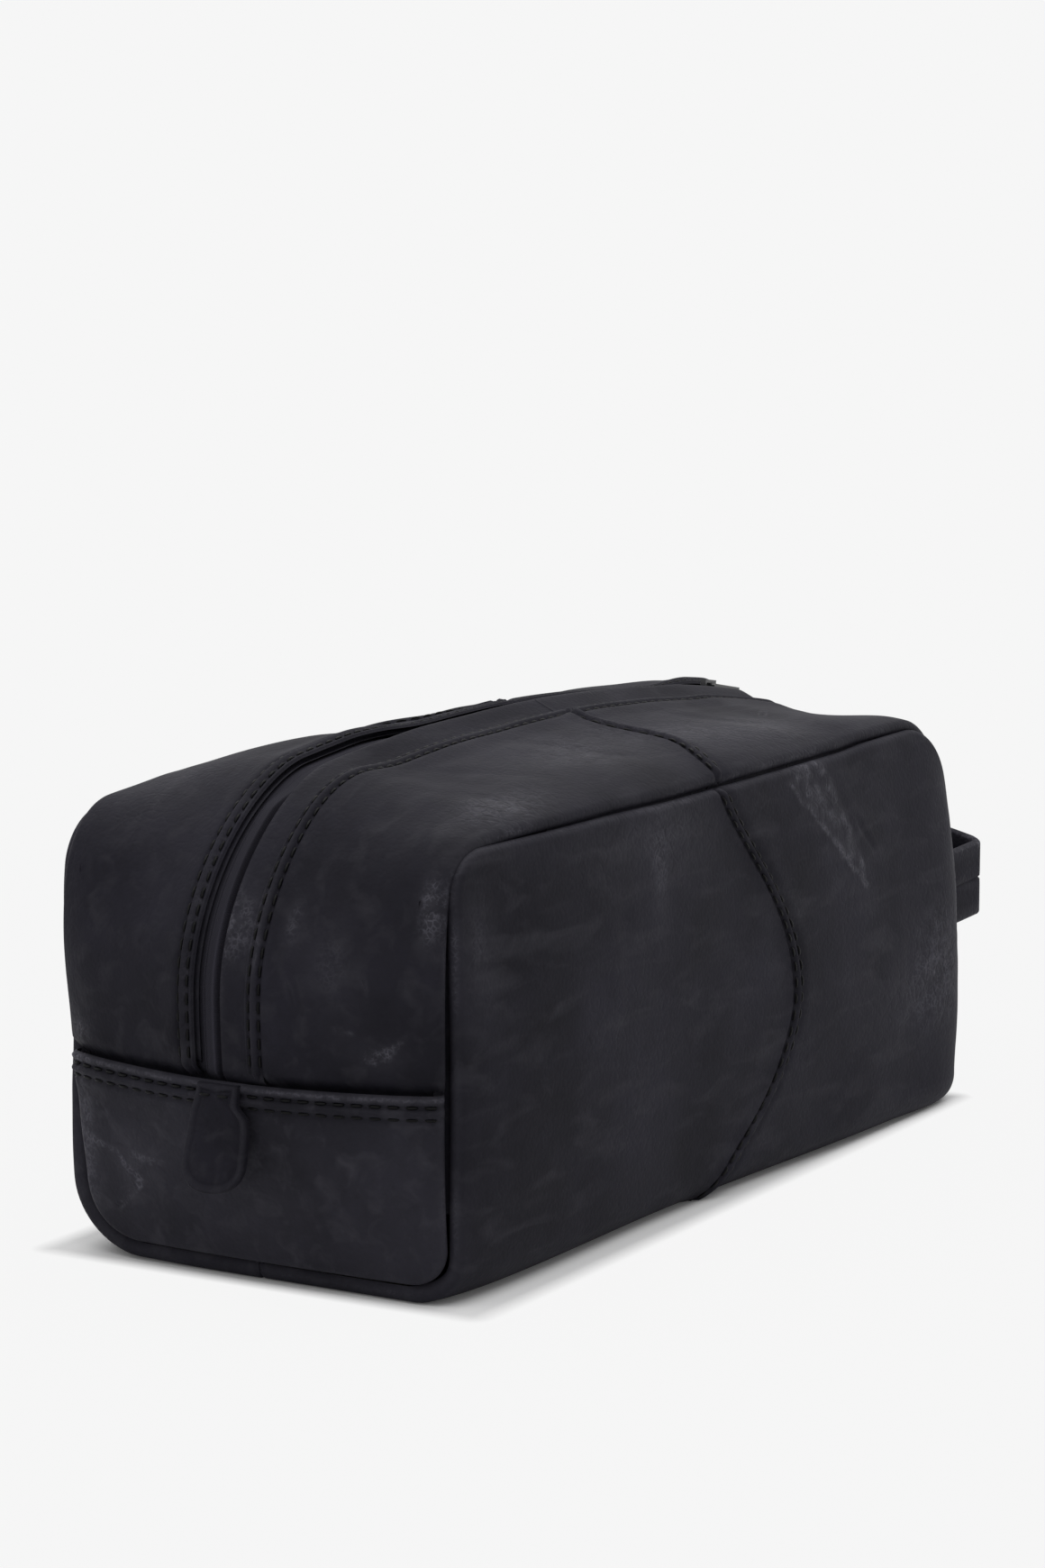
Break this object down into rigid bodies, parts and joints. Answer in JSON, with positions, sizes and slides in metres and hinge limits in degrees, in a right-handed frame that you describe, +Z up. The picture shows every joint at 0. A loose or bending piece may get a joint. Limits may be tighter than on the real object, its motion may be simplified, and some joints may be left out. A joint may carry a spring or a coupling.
{
  "type": "shaving kit bag",
  "caption": "Boxy soft leather wash bag with a zip running over its domed top, a grab tab at one end and a strap handle at the other.",
  "frame": {"origin": "on the floor plane under the middle of the base seam, half-way between the two end seams", "axes": "+X along the bag towards the handle end, -Y towards the right-hand side, +Z up"},
  "size_m": [0.3057, 0.122, 0.1215],
  "materials": {
    "side_leather": "natural grain, satin",
    "end_leather": "natural grain, satin",
    "top_leather": "natural grain, satin",
    "band_leather": "smooth grain, satin",
    "handle_leather": "smooth grain, satin",
    "tab_leather": "smooth grain, satin",
    "zip_tape": "woven polyester tape",
    "zip_coil": "nylon coil, semi-gloss",
    "zip_metal": "black enamelled zinc",
    "lining_cloth": "plain woven polyester",
    "interlining_foam": "thin foam-backed cloth",
    "base_board": "pressed fibre board"
  },
  "bodies": {
    "bag": {"side_right_front": "side_leather", "side_right_rear": "side_leather", "side_left_front": "side_leather", "side_left_rear": "side_leather", "end_panel_front": "end_leather", "end_panel_rear": "end_leather", "shoulder_right_front": "top_leather", "shoulder_right_rear": "top_leather", "shoulder_left_front": "top_leather", "shoulder_left_rear": "top_leather", "zip_band_front": "band_leather", "zip_band_rear": "band_leather", "zip_tape_front": "zip_tape", "zip_tape_rear": "zip_tape", "zip_coil_front": "zip_coil", "zip_coil_rear": "zip_coil", "zip_stop_front": "zip_metal", "zip_stop_rear": "zip_metal", "grab_tab_head": "tab_leather", "handle_ends": "handle_leather", "interlining_right": "interlining_foam", "interlining_left": "interlining_foam", "base_board": "base_board", "lining_right": "lining_cloth", "lining_left": "lining_cloth", "lining_end_front": "lining_cloth", "lining_end_rear": "lining_cloth", "lining_shoulder_front": "lining_cloth", "lining_shoulder_rear": "lining_cloth"},
    "mouth_right": {"mouth_right_front": "top_leather", "mouth_right_rear": "top_leather", "zip_band_mouth": "band_leather", "zip_tape_right": "zip_tape", "zip_coil_right": "zip_coil", "lining_mouth_right": "lining_cloth"},
    "mouth_left": {"mouth_left_front": "top_leather", "mouth_left_rear": "top_leather", "zip_tape_left": "zip_tape", "zip_coil_left": "zip_coil", "lining_mouth_left": "lining_cloth"},
    "zip_slider": {"zip_slider": "zip_metal"},
    "zip_pull": {"zip_pull": "zip_metal"},
    "grab_tab": {"grab_tab_face": "tab_leather", "grab_tab_back": "tab_leather"},
    "handle": {"handle_face": "handle_leather", "handle_backing": "handle_leather"}
  },
  "joints": [
    {"name": "mouth_right_open", "type": "hinge", "parent": "bag", "child": "mouth_right", "pos_m": [0, -0.0573, 0.105], "axis": [1, 0, 0], "range_deg": [0, 80]},
    {"name": "mouth_left_open", "type": "hinge", "parent": "bag", "child": "mouth_left", "pos_m": [0, 0.0573, 0.105], "axis": [-1, 0, 0], "range_deg": [0, 80]},
    {"name": "zip_travel", "type": "hinge", "parent": "bag", "child": "zip_slider", "pos_m": [-0.015, 0.0054, -0.5985], "axis": [0, -1, 0], "range_deg": [0, 15.01]},
    {"name": "pull_swing", "type": "hinge", "parent": "zip_slider", "child": "zip_pull", "pos_m": [0.10191, 0.0054, 0.11139], "axis": [0, -1, 0], "range_deg": [0, 165]},
    {"name": "grab_tab_lift", "type": "hinge", "parent": "bag", "child": "grab_tab", "pos_m": [-0.14129, 0.002, 0.0435], "axis": [0, 1, 0], "range_deg": [0, 105]},
    {"name": "handle_swing", "type": "hinge", "parent": "bag", "child": "handle", "pos_m": [0.1447, 0, 0.054], "axis": [0, -1, 0], "range_deg": [-40, 40], "stiffness_Nm_per_rad": 0.05}
  ]
}
